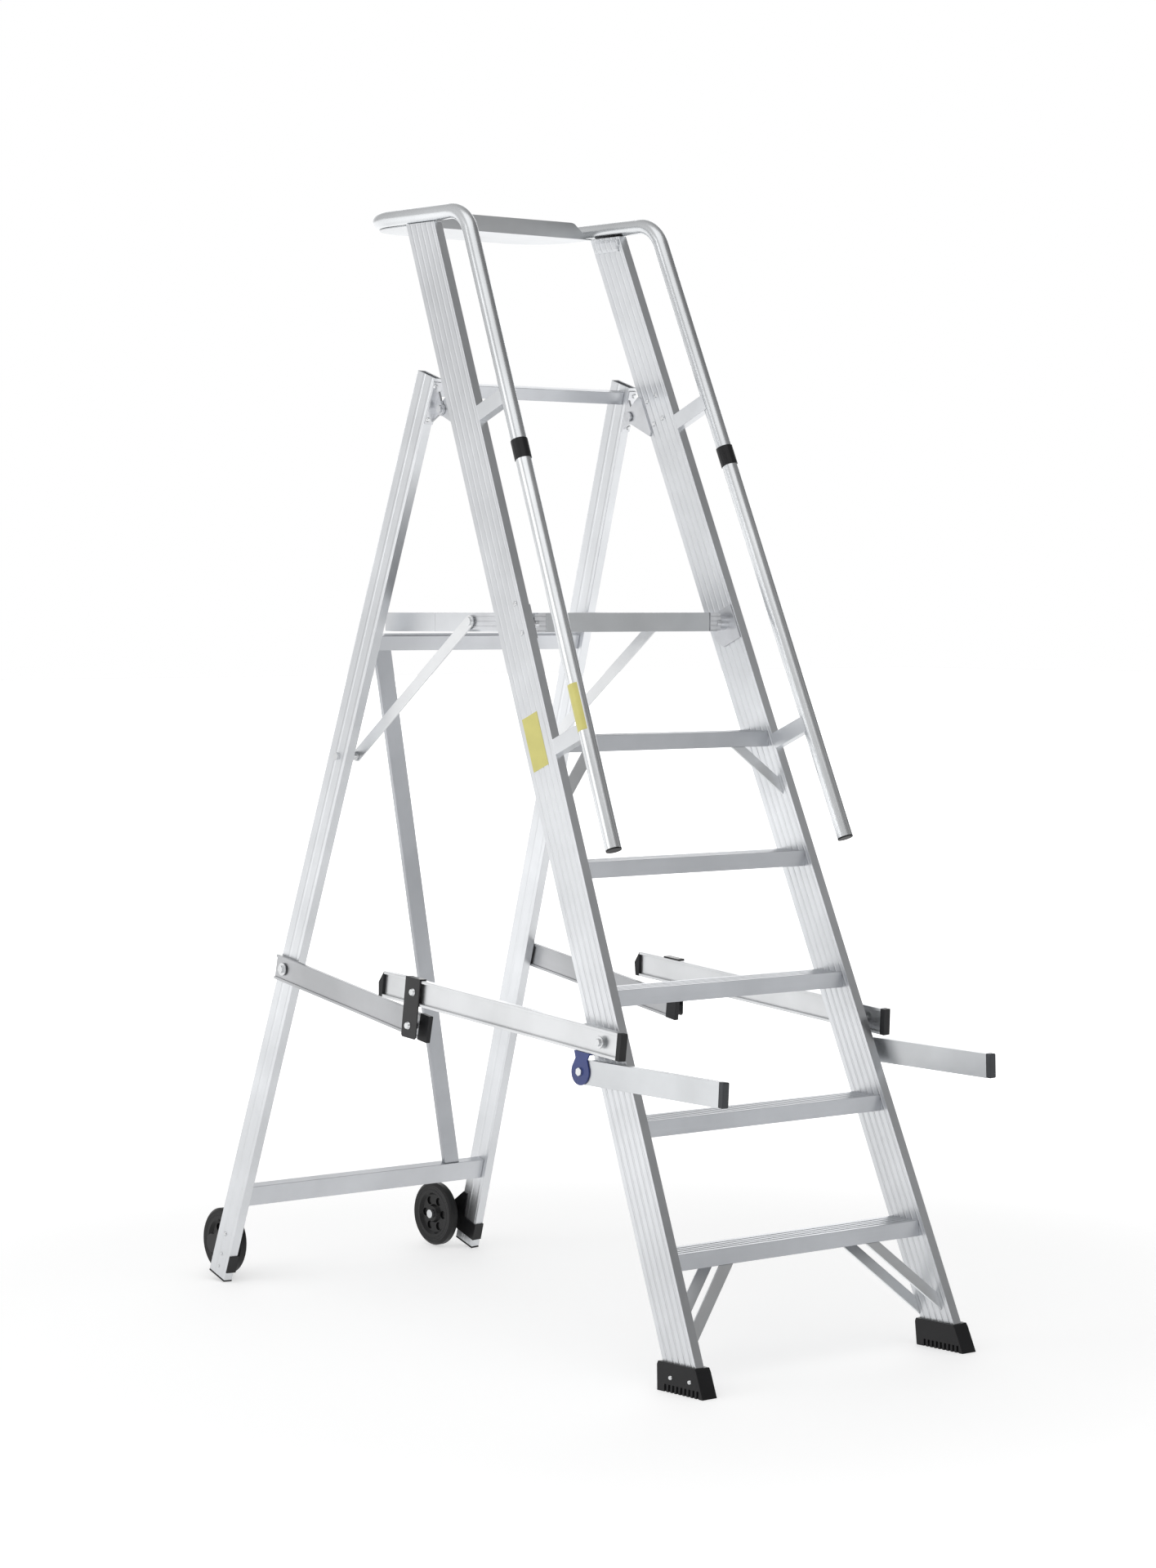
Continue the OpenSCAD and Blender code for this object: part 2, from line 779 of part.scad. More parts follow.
brace_radius = 13;
brace_length = sqrt(pow(pin_y - brace_y, 2) + pow(pin_z - brace_z, 2));
brace_angle = atan2(pin_z - brace_z, pin_y - brace_y);

module brace() {
    color(aluminium_grey) translate([0, y_shift, 0]) {
        difference() {
            translate([0, brace_y, brace_z]) rotate([brace_angle, 0, 0])
                plate(brace_inner, brace_outer - brace_inner) {
                    circle(r = brace_radius);
                    translate([0, -brace_radius]) square([brace_length, 2 * brace_radius]);
                    translate([brace_length, 0]) circle(r = brace_radius);
                }
            pin(0, reach, bore_radius, brace_y, brace_z);
        }
        // the pin's collar and head: its end stops short of the platform arm
        pin(arm_outer + 0.5, brace_inner, 9, pin_y, pin_z);
        pin(brace_outer, brace_outer + 4, 9, pin_y, pin_z);
    }
}

module brace_left() {
    mirror([1, 0, 0]) brace();
}

module brace_right() {
    brace();
}

// ---------- spreaders and handles ----------

bar_width = forward_bar_out - forward_bar_in;

module forward_bar() {
    color(aluminium_grey) in_bar() difference() {
        channel_bar(bar_front, bar_rear - bar_front, bar_height, forward_bar_in, bar_width);
        pin(0, 99, bore_radius);
    }
}

module forward_bar_left() {
    mirror([1, 0, 0]) forward_bar();
}

module forward_bar_right() {
    forward_bar();
}

module forward_bar_caps() {
    half = bar_height / 2;
    color(black_plastic) in_bar() plate(forward_bar_in, bar_width) {
        polygon([[bar_rear, half], [bar_rear + 16, 2], [bar_rear + 12, -half], [bar_rear, -half]]);
        translate([bar_front - 13, -half]) square([13, bar_height]);
    }
}

module forward_bar_caps_left() {
    mirror([1, 0, 0]) forward_bar_caps();
}

module forward_bar_caps_right() {
    forward_bar_caps();
}

module link() {
    half = bar_height / 2;
    color(black_plastic) in_bar() {
        plate(forward_bar_out, link_out - forward_bar_out)
            polygon([[link_t - link_half, half + 3], [link_t + link_half, half + 3],
                [link_t + link_half, -link_low + 4], [link_t + link_half - 4, -link_low],
                [link_t - link_half + 4, -link_low], [link_t - link_half, -link_low + 4]]);
        translate([forward_bar_out - 15, link_t - link_half, half])
            cube([15, 2 * link_half, 3]);
    }
}

module link_left() {
    mirror([1, 0, 0]) link();
}

module link_right() {
    link();
}

module handle_bracket() {
    half = bar_height / 2;
    color(bracket_blue) in_bar() {
        plate(blue_in, blue_out - blue_in) {
            translate([grip_t, -grip_drop]) circle(r = lobe_radius);
            polygon([[grip_t - 24, -half], [grip_t + 24, -half], [grip_t + 18, -half - 14],
                [grip_t + 25, -grip_drop + 9], [grip_t - 25, -grip_drop + 9],
                [grip_t - 18, -half - 14]]);
        }
        translate([forward_bar_in, grip_t - 24, -half - 3])
            cube([blue_in - forward_bar_in, 48, 3]);
    }
}

module handle_bracket_left() {
    mirror([1, 0, 0]) handle_bracket();
}

module handle_bracket_right() {
    handle_bracket();
}

module bar_bolts() {
    color(zinc_grey) in_bar() {
        head(link_out, 9, 5, link_t - 3, 0);
        head(link_out, 9, 5, knee_t, -knee_drop);
        pin(knee_spacer_in, forward_bar_out, 9, knee_t, -knee_drop);
        pin(forward_bar_in + 1, blue_in, 5, grip_t, -grip_drop);
        hex_head(blue_out, 9, 5, grip_t, -grip_drop);
    }
}

module bar_bolts_left() {
    mirror([1, 0, 0]) bar_bolts();
}

module bar_bolts_right() {
    bar_bolts();
}

rear_bar_width = rear_bar_out - rear_bar_in;

module rear_bar() {
    color(aluminium_grey) in_rear_bar() difference() {
        channel_bar(-rear_bar_length, rear_bar_length + rear_bar_tail, bar_height,
            rear_bar_in, rear_bar_width);
        pin(0, 99, bore_radius);
    }
}

module rear_bar_left() {
    mirror([1, 0, 0]) rear_bar();
}

module rear_bar_right() {
    rear_bar();
}

module handle() {
    end = handle_height / 2;
    color(aluminium_grey) in_handle() difference() {
        plate(forward_bar_in, bar_width) {
            circle(r = end);
            translate([-handle_length, -end]) square([handle_length, handle_height]);
        }
        translate([forward_bar_in + wall, -handle_length - 1, wall - end])
            cube([bar_width - 2 * wall, handle_length - 40, handle_height - 2 * wall]);
        pin(0, 99, 5.06);
    }
}

module handle_left() {
    mirror([1, 0, 0]) handle();
}

module handle_right() {
    handle();
}

module handle_cap() {
    color(shade_grey) in_handle()
        translate([forward_bar_in, -handle_length - handle_cap_length, -handle_height / 2])
        cube([bar_width, handle_cap_length, handle_height]);
}

module handle_cap_left() {
    mirror([1, 0, 0]) handle_cap();
}

module handle_cap_right() {
    handle_cap();
}

// ---------- wheels ----------

rim_radius = 57;

module on_axle() {
    translate([wheel_mid, wheel_y + y_shift, wheel_z]) rotate([0, 90, 0]) children();
}

module rim() {
    half = wheel_width / 2;
    color(black_plastic) on_axle() rotate_extrude() polygon([[bore_radius, -half],
        [18, -half], [22, -5], [44, -5], [50, 1 - half], [rim_radius, 1 - half],
        [rim_radius, half - 1], [50, half - 1], [44, 5], [22, 5], [18, half],
        [bore_radius, half]]);
}

module rim_left() {
    mirror([1, 0, 0]) rim();
}

module rim_right() {
    rim();
}

module tyre() {
    half = wheel_width / 2;
    radius = wheel_dia / 2;
    color([0.12, 0.12, 0.13]) on_axle() rotate_extrude() polygon([[rim_radius, 1 - half],
        [radius - 6, -half], [radius, 5 - half], [radius, half - 5], [radius - 6, half],
        [rim_radius, half - 1]]);
}

module tyre_left() {
    mirror([1, 0, 0]) tyre();
}

module tyre_right() {
    tyre();
}

// ---------- nodes ----------

stile_left();
stile_right();
step_1();
step_2();
step_3();
step_4();
step_5();
gussets();
front_foot_left();
front_foot_right();
stile_rivets();
hoop_rail();
handrail_left();
handrail_right();
rail_sleeves();
rail_end_plugs();
rail_standoffs();
tool_tray();
hinge_plates();
pivot_brackets();
labels();
stile_bolts();
leg_left();
leg_right();
top_crossbar();
middle_crossbar();
bottom_crossbar();
rear_diagonal();
leg_plugs();
hinge_tongues();
leg_rivets();
wheel_brackets();
leg_bolts();
platform_deck();
platform_side_rails();
platform_front_bar();
platform_rear_pan();
platform_arms();
brace_left();
brace_right();
forward_bar_left();
forward_bar_right();
forward_bar_caps_left();
forward_bar_caps_right();
link_left();
link_right();
handle_bracket_left();
handle_bracket_right();
bar_bolts_left();
bar_bolts_right();
rear_bar_left();
rear_bar_right();
handle_left();
handle_right();
handle_cap_left();
handle_cap_right();
rim_left();
rim_right();
tyre_left();
tyre_right();
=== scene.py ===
import bpy
import json
import math
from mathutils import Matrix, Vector


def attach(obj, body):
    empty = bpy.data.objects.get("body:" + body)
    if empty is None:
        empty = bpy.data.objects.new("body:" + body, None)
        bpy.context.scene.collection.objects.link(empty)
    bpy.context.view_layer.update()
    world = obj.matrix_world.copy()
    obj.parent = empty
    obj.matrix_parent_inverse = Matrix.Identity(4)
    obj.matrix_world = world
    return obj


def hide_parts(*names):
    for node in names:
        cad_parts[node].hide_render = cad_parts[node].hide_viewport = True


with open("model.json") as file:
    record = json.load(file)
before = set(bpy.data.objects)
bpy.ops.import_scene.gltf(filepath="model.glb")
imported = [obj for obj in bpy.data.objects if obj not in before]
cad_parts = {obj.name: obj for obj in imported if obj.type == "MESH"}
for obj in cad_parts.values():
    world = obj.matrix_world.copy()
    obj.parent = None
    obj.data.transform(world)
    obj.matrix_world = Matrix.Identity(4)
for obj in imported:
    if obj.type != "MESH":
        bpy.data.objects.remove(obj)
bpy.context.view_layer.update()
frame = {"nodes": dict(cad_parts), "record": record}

nodes = frame["nodes"]
body_of_node = {n: body for body, members in frame["record"]["behaviour"]["bodies"].items()
                for n in members}

# ---------- camera ----------
# At platform height, well back, turned to the ladder's left front and a little downward.
# A fairly long lens keeps the uprights from splaying.

CAMERA_PLACE = (-5.1233, -6.2390, 1.5243)
CAMERA_PITCH = 87.297
CAMERA_TURN = -39.6
SENSOR_WIDTH = 24
LENS = 57.595
FAR_CLIP = 200

camera = bpy.data.objects.new("camera", bpy.data.cameras.new("camera"))
bpy.context.scene.collection.objects.link(camera)
camera.location = CAMERA_PLACE
camera.rotation_euler = (math.radians(CAMERA_PITCH), 0, math.radians(CAMERA_TURN))
camera.data.sensor_width = SENSOR_WIDTH
camera.data.lens = LENS
camera.data.clip_end = FAR_CLIP
bpy.context.scene.camera = camera

# ---------- light ----------
# Three large soft lamps: one overhead and to the front, one from the left, a weak one from the
# right. The surround is bright on the left and dim on the right, with a bright card behind.

WHITE = (1, 1, 1, 1)
DIM = 0.10
BRIGHT = 0.80
BRIGHT_SIDE = (-0.80, 0.48, 0.36)
CARD = 1.5
CARD_SIDE = (0.62, 0.77, 0.14)
CARD_EDGE = (0.80, 0.97)


def clear_selection():
    bpy.ops.object.select_all(action="DESELECT")


def area_light(name, place, aim, size, power):
    clear_selection()
    bpy.ops.object.light_add(type="AREA", location=place)
    lamp = bpy.context.object
    lamp.name = name
    lamp.data.shape = "RECTANGLE"
    lamp.data.size, lamp.data.size_y = size
    lamp.data.energy = power
    lamp.rotation_euler = (Vector(aim) - Vector(place)).to_track_quat("-Z", "Y").to_euler()


def add(tree, kind, **settings):
    """Adds a shader node with the given settings."""
    node = tree.nodes.new(kind)
    for key, value in settings.items():
        setattr(node, key, value)
    return node


def along_direction(tree, place, direction):
    """How far a place or a view lies along a direction."""
    dot = add(tree, "ShaderNodeVectorMath", operation="DOT_PRODUCT")
    dot.inputs[1].default_value = direction
    tree.links.new(place, dot.inputs[0])
    return dot.outputs["Value"]


def remap(tree, value, old, new, smooth=False):
    """Stretches a value from its old (low, high) to a new one, and stops at both ends."""
    stretch = add(tree, "ShaderNodeMapRange")
    stretch.interpolation_type = "SMOOTHSTEP" if smooth else "LINEAR"
    stretch.inputs["From Min"].default_value = old[0]
    stretch.inputs["From Max"].default_value = old[1]
    stretch.inputs["To Min"].default_value = new[0]
    stretch.inputs["To Max"].default_value = new[1]
    tree.links.new(value, stretch.inputs["Value"])
    return stretch.outputs["Result"]


area_light("soft_top", place=(-1.5, -2.0, 5.5), aim=(0, 0, 0.8), size=(5, 5), power=60)
area_light("soft_left", place=(-6.0, 1.5, 2.6), aim=(0, 0.2, 1.1), size=(3, 4), power=45)
area_light("soft_right", place=(5.0, -3.5, 3.0), aim=(0, 0, 1.0), size=(2.5, 4), power=6)

world = bpy.data.worlds.new("studio")
bpy.context.scene.world = world
world.use_nodes = True
sky = world.node_tree
surround = sky.nodes["Background"]
surround.inputs["Color"].default_value = WHITE
toward = add(sky, "ShaderNodeTexCoord").outputs["Generated"]
fade = remap(sky, along_direction(sky, toward, BRIGHT_SIDE), (-1, 1), (DIM, BRIGHT))
card = remap(sky, along_direction(sky, toward, CARD_SIDE), CARD_EDGE, (0, CARD), smooth=True)
total = add(sky, "ShaderNodeMath", operation="ADD")
sky.links.new(fade, total.inputs[0])
sky.links.new(card, total.inputs[1])
sky.links.new(total.outputs["Value"], surround.inputs["Strength"])
backdrop = add(sky, "ShaderNodeBackground")
backdrop.inputs["Color"].default_value = WHITE
ray = add(sky, "ShaderNodeLightPath")
choose = add(sky, "ShaderNodeMixShader")
sky.links.new(ray.outputs["Is Camera Ray"], choose.inputs["Fac"])
sky.links.new(surround.outputs["Background"], choose.inputs[1])
sky.links.new(backdrop.outputs["Background"], choose.inputs[2])
sky.links.new(choose.outputs["Shader"], sky.nodes["World Output"].inputs["Surface"])
bpy.context.scene.view_settings.view_transform = "Standard"

# ---------- floor ----------
# A plain white studio floor, lit through so that it stays white to the back. It is matt, so
# the ladder throws a soft shadow on it and hardly any reflection.

FLOOR_SIZE = 120
FLOOR_GREY = (0.62, 0.62, 0.62, 1)
FLOOR_ROUGHNESS = 0.8
FLOOR_SHINE = 0.1
NEAR_GLOW = 0.50
FAR_GLOW = 1.0
GLOW_REACH = (1.2, 4.5)


def new_material(name):
    material = bpy.data.materials.new(name)
    material.use_nodes = True
    return material, material.node_tree, material.node_tree.nodes["Principled BSDF"]


clear_selection()
bpy.ops.mesh.primitive_plane_add(size=FLOOR_SIZE, location=(0, 0, 0))
floor = bpy.context.object
floor.name = "studio_floor"
floor_paint, floor_tree, floor_shader = new_material("studio_floor")
floor_shader.inputs["Base Color"].default_value = FLOOR_GREY
floor_shader.inputs["Roughness"].default_value = FLOOR_ROUGHNESS
floor_shader.inputs["Specular IOR Level"].default_value = FLOOR_SHINE
floor_shader.inputs["Emission Color"].default_value = WHITE
spot = add(floor_tree, "ShaderNodeTexCoord")
away = add(floor_tree, "ShaderNodeVectorMath", operation="LENGTH")
floor_tree.links.new(spot.outputs["Object"], away.inputs[0])
glow = remap(floor_tree, away.outputs["Value"], GLOW_REACH, (NEAR_GLOW, FAR_GLOW), smooth=True)
floor_tree.links.new(glow, floor_shader.inputs["Emission Strength"])
floor.data.materials.append(floor_paint)

# ---------- stiles ----------
# Closed aluminium box extrusions, mill finish. The die leaves fine ridges along them and
# rounds the corners; drawing and handling leave fine lines and soft grey smears.

LINE_LENGTH = 0.35
LINE_WIDTH = 0.0016
LINE_RELIEF = 0.02
LINE_DEPTH = 0.001
SMEAR = 0.14
STILE_LEAN = 22.63
SIDE_TILT = 2.43
RIDGE_CREST = (0.55, 0.95)
BEVEL_ANGLE = 38
SMOOTH_ANGLE = 32
SAME_POINT = 0.00002
FLAT_ANGLE = 0.6
EXTRUSION_EDGE = 0.0012
ACROSS = 0
BACK = 1
UP = 2
SIDES = (("left", -1), ("right", 1))


def noise(tree, place, scale, detail):
    cloud = add(tree, "ShaderNodeTexNoise")
    cloud.inputs["Scale"].default_value = scale
    cloud.inputs["Detail"].default_value = detail
    tree.links.new(place, cloud.inputs["Vector"])
    return cloud.outputs["Fac"]


def mottle(tree, shader, value, stops, dark, light):
    """Colours a surface from dark to light between two stops of a noise."""
    ramp = add(tree, "ShaderNodeValToRGB")
    for end, stop, colour in zip(ramp.color_ramp.elements, stops, (dark, light)):
        end.position = stop
        end.color = (*colour, 1)
    tree.links.new(value, ramp.inputs["Fac"])
    tree.links.new(ramp.outputs["Color"], shader.inputs["Base Color"])


def relief(tree, shader, height, depth, strength=1.0):
    """Raises a surface by a height, on top of any relief that it has already."""
    bump = add(tree, "ShaderNodeBump")
    bump.inputs["Strength"].default_value = strength
    bump.inputs["Distance"].default_value = depth
    tree.links.new(height, bump.inputs["Height"])
    for link in shader.inputs["Normal"].links:
        tree.links.new(link.from_socket, bump.inputs["Normal"])
    tree.links.new(bump.outputs["Normal"], shader.inputs["Normal"])


def drawn_metal(name, colour, rough, along, tilt=(0, 0, 0)):
    """Bare metal with lines drawn along one axis of a frame tilted by the given degrees."""
    material, tree, shader = new_material(name)
    shader.inputs["Metallic"].default_value = 1.0
    place = add(tree, "ShaderNodeTexCoord").outputs["Object"]
    drawn = add(tree, "ShaderNodeMapping", vector_type="TEXTURE")
    drawn.inputs["Rotation"].default_value = [math.radians(a) for a in tilt]
    drawn.inputs["Scale"].default_value = [
        LINE_LENGTH if axis == along else LINE_WIDTH for axis in (ACROSS, BACK, UP)]
    tree.links.new(place, drawn.inputs["Vector"])
    lines = noise(tree, drawn.outputs["Vector"], 1.0, 3.0)
    clouds = noise(tree, place, 5.0, 4.0)
    mottle(tree, shader, clouds, (0.35, 0.65), [c * (1 - SMEAR) for c in colour], colour)
    dullness = remap(tree, lines, (0, 1), (rough - 0.06, rough + 0.08))
    tree.links.new(dullness, shader.inputs["Roughness"])
    relief(tree, shader, lines, LINE_DEPTH, LINE_RELIEF)
    return material


def ribbed(material, step, depth, direction=None, about=None):
    """Adds fine ridges a step apart: across a direction, or in rings about an axle point."""
    tree = material.node_tree
    shader = tree.nodes["Principled BSDF"]
    place = add(tree, "ShaderNodeTexCoord").outputs["Object"]
    if about is None:
        distance = along_direction(tree, place, direction)
    else:
        flat = add(tree, "ShaderNodeVectorMath", operation="MULTIPLY")
        flat.inputs[1].default_value = (0, 1, 1)
        tree.links.new(place, flat.inputs[0])
        radius = add(tree, "ShaderNodeVectorMath", operation="DISTANCE")
        radius.inputs[1].default_value = (0, about[1], about[2])
        tree.links.new(flat.outputs["Vector"], radius.inputs[0])
        distance = radius.outputs["Value"]
    turns = add(tree, "ShaderNodeMath", operation="MULTIPLY")
    turns.inputs[1].default_value = 2 * math.pi / step
    tree.links.new(distance, turns.inputs[0])
    wave = add(tree, "ShaderNodeMath", operation="SINE")
    tree.links.new(turns.outputs["Value"], wave.inputs[0])
    ridges = remap(tree, wave.outputs["Value"], RIDGE_CREST, (0, 1), smooth=True)
    relief(tree, shader, ridges, depth)
    return material


def select_only(piece):
    clear_selection()
    bpy.context.view_layer.objects.active = piece
    piece.select_set(True)


def soften(piece, edge, segments=2):
    """Rounds a piece's sharp edges over and evens its shading."""
    select_only(piece)
    if edge:
        bevel = piece.modifiers.new("rounded", "BEVEL")
        bevel.width = edge
        bevel.segments = segments
        bevel.limit_method = "ANGLE"
        bevel.angle_limit = math.radians(BEVEL_ANGLE)
        bpy.ops.object.modifier_apply(modifier="rounded")
    bpy.ops.object.shade_smooth_by_angle(angle=math.radians(SMOOTH_ANGLE))
    even = piece.modifiers.new("even", "WEIGHTED_NORMAL")
    even.keep_sharp = True
    even.weight = 100
    bpy.ops.object.modifier_apply(modifier="even")


def from_cad(name, edge, material, segments=2, cutter=None):
    """Stands for a CAD node: the same mesh, cut if asked, with its sharp edges rounded."""
    piece = bpy.data.objects.new("made_" + name, nodes[name].data.copy())
    bpy.context.scene.collection.objects.link(piece)
    piece.data.materials.clear()
    piece.data.materials.append(material)
    select_only(piece)
    bpy.ops.object.mode_set(mode="EDIT")
    bpy.ops.mesh.select_all(action="SELECT")
    bpy.ops.mesh.remove_doubles(threshold=SAME_POINT)
    bpy.ops.mesh.dissolve_limited(angle_limit=math.radians(FLAT_ANGLE))
    bpy.ops.mesh.normals_make_consistent(inside=False)
    bpy.ops.object.mode_set(mode="OBJECT")
    for face in piece.data.polygons:
        face.material_index = 0
    if cutter is not None:
        cut = piece.modifiers.new("cut", "BOOLEAN")
        cut.operation = "DIFFERENCE"
        cut.solver = "EXACT"
        cut.object = cutter
        bpy.ops.object.modifier_apply(modifier="cut")
        bpy.data.objects.remove(cutter)
        select_only(piece)
    soften(piece, edge, segments)
    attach(piece, body_of_node[name])
    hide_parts(name)
    return piece


across_stile = (0, math.cos(math.radians(STILE_LEAN)), -math.sin(math.radians(STILE_LEAN)))
bright = (0.73, 0.745, 0.765)
stile_metal = ribbed(drawn_metal("stile_aluminium", bright, 0.32, UP, tilt=(-STILE_LEAN, 0, 0)),
                     step=0.0165, depth=0.0013, direction=across_stile)
for side, sign in SIDES:
    from_cad("stile_" + side, EXTRUSION_EDGE, stile_metal)

# ---------- stile top plates ----------
# A small pressed aluminium plate across the inner face at the head of each stile, under the
# hoop, with a raised panel inside a flat margin.

PLATE_WIDTH = 0.080
PLATE_DROP = 0.026
PLATE_THICK = 0.004
PLATE_EDGE = 0.0005
PANEL_MARGIN = 0.004
PANEL_RISE = 0.0012
INNER_FACE_AT_TOP = 0.2450 - PLATE_THICK / 2
STILE_MIDDLE_AT_TOP = 0.1500
TOP_PLATE_Z = 2.3165
FACING_IN = 0.9


def block(name, size, centre, turns=()):
    """A box made from a cube by moving and turning its corners, its object at the origin."""
    clear_selection()
    bpy.ops.mesh.primitive_cube_add(size=1, location=(0, 0, 0))
    piece = bpy.context.object
    piece.name = name
    bpy.ops.object.mode_set(mode="EDIT")
    bpy.ops.mesh.select_all(action="SELECT")
    bpy.ops.transform.resize(value=size)
    bpy.ops.transform.translate(value=centre)
    for axis, angle in turns:
        bpy.ops.transform.rotate(value=angle, orient_axis=axis, center_override=centre)
    bpy.ops.object.mode_set(mode="OBJECT")
    return piece


for side, sign in SIDES:
    plate = block("stile_top_plate_" + side, (PLATE_THICK, PLATE_WIDTH, PLATE_DROP),
                  (sign * INNER_FACE_AT_TOP, STILE_MIDDLE_AT_TOP, TOP_PLATE_Z),
                  turns=[("Y", sign * math.radians(SIDE_TILT))])
    bpy.ops.object.mode_set(mode="EDIT")
    bpy.ops.mesh.select_all(action="DESELECT")
    bpy.ops.object.mode_set(mode="OBJECT")
    for face in plate.data.polygons:
        face.select = face.normal.x * sign < -FACING_IN
    bpy.ops.object.mode_set(mode="EDIT")
    bpy.ops.mesh.inset(thickness=PANEL_MARGIN, depth=0)
    rise = (-sign * PANEL_RISE, 0, 0)
    bpy.ops.mesh.extrude_region_move(TRANSFORM_OT_translate={"value": rise})
    bpy.ops.object.mode_set(mode="OBJECT")
    plate.data.materials.append(stile_metal)
    soften(plate, PLATE_EDGE)
    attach(plate, "front")

# ---------- treads ----------
# Aluminium tread extrusions with grooves along the top and a deep front lip, welded between
# the stiles.

TREAD_EDGE = 0.0009
TREAD_COUNT = 5
# A darker grey than the stiles' aluminium, for the treads and the diagonal: painted shade.
shade_darkened_grey = (0.47, 0.485, 0.51)
tread_metal = drawn_metal("tread_aluminium", shade_darkened_grey, 0.36, ACROSS)
for number in range(1, TREAD_COUNT + 1):
    from_cad("step_%d" % number, TREAD_EDGE, tread_metal)

# ---------- gussets ----------
# Flat aluminium bars set at 45 degrees from under the lowest and highest treads out to the
# stiles, cut to fit both and welded.

SHEET_EDGE = 0.0006
# A paler grey than the stiles' aluminium: painted light, standing in for a bright reflection on
# the gussets' faces.
gusset_metal = drawn_metal("gusset_aluminium", (0.86, 0.875, 0.89), 0.4, ACROSS)
from_cad("gussets", SHEET_EDGE, gusset_metal)

# ---------- front feet ----------
# Black moulded shoes pushed over the stile ends and riveted. The lower edge is combed with
# upright slots so that it grips and lets water out.

COMB_COUNT = 9
COMB_STEP = 0.0118
COMB_START = -0.8570
COMB_HEIGHT = 0.030
COMB_DEPTH = 0.0040
FOOT_OUTER_X = 0.3733
FOOT_INNER_X = 0.3353
PATCH_SIZE = 28.0
GRAIN_DEPTH = 0.0005
COATING_SHINE = 0.3
MOULDED_GRAIN = 900.0


def coated(name, colour, rough, metal=0.0, grain=600.0, bump=0.05, wear=0.08, coat=0.0):
    """Paint, moulding or plating with a fine grain, patchy sheen and faint rubbing."""
    material, tree, shader = new_material(name)
    shader.inputs["Metallic"].default_value = metal
    shader.inputs["Coat Weight"].default_value = coat
    shader.inputs["Specular IOR Level"].default_value = COATING_SHINE
    place = add(tree, "ShaderNodeTexCoord").outputs["Object"]
    fine = noise(tree, place, grain, 2.0)
    patch = noise(tree, place, PATCH_SIZE, 5.0)
    mottle(tree, shader, patch, (0.3, 0.7), [c * (1 - wear) for c in colour],
           [min(1, c * (1 + wear)) for c in colour])
    sheen = remap(tree, patch, (0, 1), (rough - 0.08, rough + 0.08))
    tree.links.new(sheen, shader.inputs["Roughness"])
    relief(tree, shader, fine, GRAIN_DEPTH, bump)
    return material


def joined(pieces):
    """Joins pieces into the first of them."""
    clear_selection()
    for piece in pieces:
        piece.select_set(True)
    bpy.context.view_layer.objects.active = pieces[0]
    bpy.ops.object.join()
    return bpy.context.object


def comb(sign):
    """Slots for one foot: thin blocks sunk into its outer and inner sides, one object."""
    slots = []
    for i in range(COMB_COUNT):
        for x in (FOOT_OUTER_X, FOOT_INNER_X):
            slots.append(block("slot", (2 * COMB_DEPTH, COMB_STEP / 2, COMB_HEIGHT),
                               (sign * x, COMB_START + COMB_STEP * i, 0)))
    return joined(slots)


black = (0.008, 0.008, 0.009)
foot_plastic = coated("foot_plastic", black, 0.42, grain=MOULDED_GRAIN, bump=0.12, wear=0.15)
for side, sign in SIDES:
    from_cad("front_foot_" + side, SHEET_EDGE, foot_plastic, cutter=comb(sign))

# ---------- rivets and bolts ----------
# Bright zinc-plated steel: domed rivets that hold the shoes, plates and brackets, and
# hexagon bolts with washers where the spreaders and braces turn.

HEAD_EDGE = 0.0007
zinc = coated("zinc_fastener", (0.66, 0.67, 0.68), 0.28, metal=1.0, grain=500.0)
for name in ("stile_rivets", "leg_rivets", "stile_bolts", "leg_bolts",
             "bar_bolts_left", "bar_bolts_right"):
    from_cad(name, HEAD_EDGE, zinc, segments=3)

# ---------- handrails, hoop and standoffs ----------
# Round aluminium tube with a brighter drawn surface, bent cold into the hoop; the standoffs
# are short box lengths notched to the tube and welded.

rail_metal = drawn_metal("rail_aluminium", (0.75, 0.765, 0.78), 0.25, UP,
                         tilt=(-STILE_LEAN, 0, 0))
hoop_metal = drawn_metal("hoop_aluminium", (0.66, 0.675, 0.69), 0.27, ACROSS)
for side, sign in SIDES:
    from_cad("handrail_" + side, SHEET_EDGE, rail_metal)
from_cad("hoop_rail", 0, hoop_metal)
standoff_metal = drawn_metal("standoff_aluminium", bright, 0.36, BACK)
from_cad("rail_standoffs", SHEET_EDGE, standoff_metal)

# ---------- rail sleeves and end plugs ----------
# Black moulded sleeves over the joint between rail and hoop, faintly ribbed lengthwise, and
# flat black plugs in the lower ends of the rails and of the rear legs.

SLEEVE_EDGE = 0.0004
sleeve_plastic = ribbed(coated("sleeve_plastic", black, 0.38, grain=MOULDED_GRAIN),
                        step=0.006, depth=0.0004, direction=across_stile)
plug_plastic = coated("plug_plastic", black, 0.45, grain=MOULDED_GRAIN, bump=0.12)
from_cad("rail_sleeves", SLEEVE_EDGE, sleeve_plastic)
for name in ("rail_end_plugs", "leg_plugs"):
    from_cad(name, SHEET_EDGE, plug_plastic)

# ---------- tool tray ----------
# Folded aluminium sheet inside the hoop: a shallow pressed floor with an upstand along the
# climbing side.

plain = (0.62, 0.635, 0.65)
tray_metal = drawn_metal("tray_aluminium", plain, 0.36, ACROSS)
from_cad("tool_tray", SHEET_EDGE, tray_metal)

# ---------- hinge plates, tongues and pivot brackets ----------
# Pressed steel plates, zinc plated and riveted to the stiles and legs. The tongues turn on
# the hinge plates' pins, and the platform turns in the pivot brackets.

plated = (0.62, 0.63, 0.65)
plate_metal = coated("zinc_plate", plated, 0.34, metal=1.0, grain=300.0)
for name in ("hinge_plates", "hinge_tongues", "pivot_brackets"):
    from_cad(name, SHEET_EDGE, plate_metal)

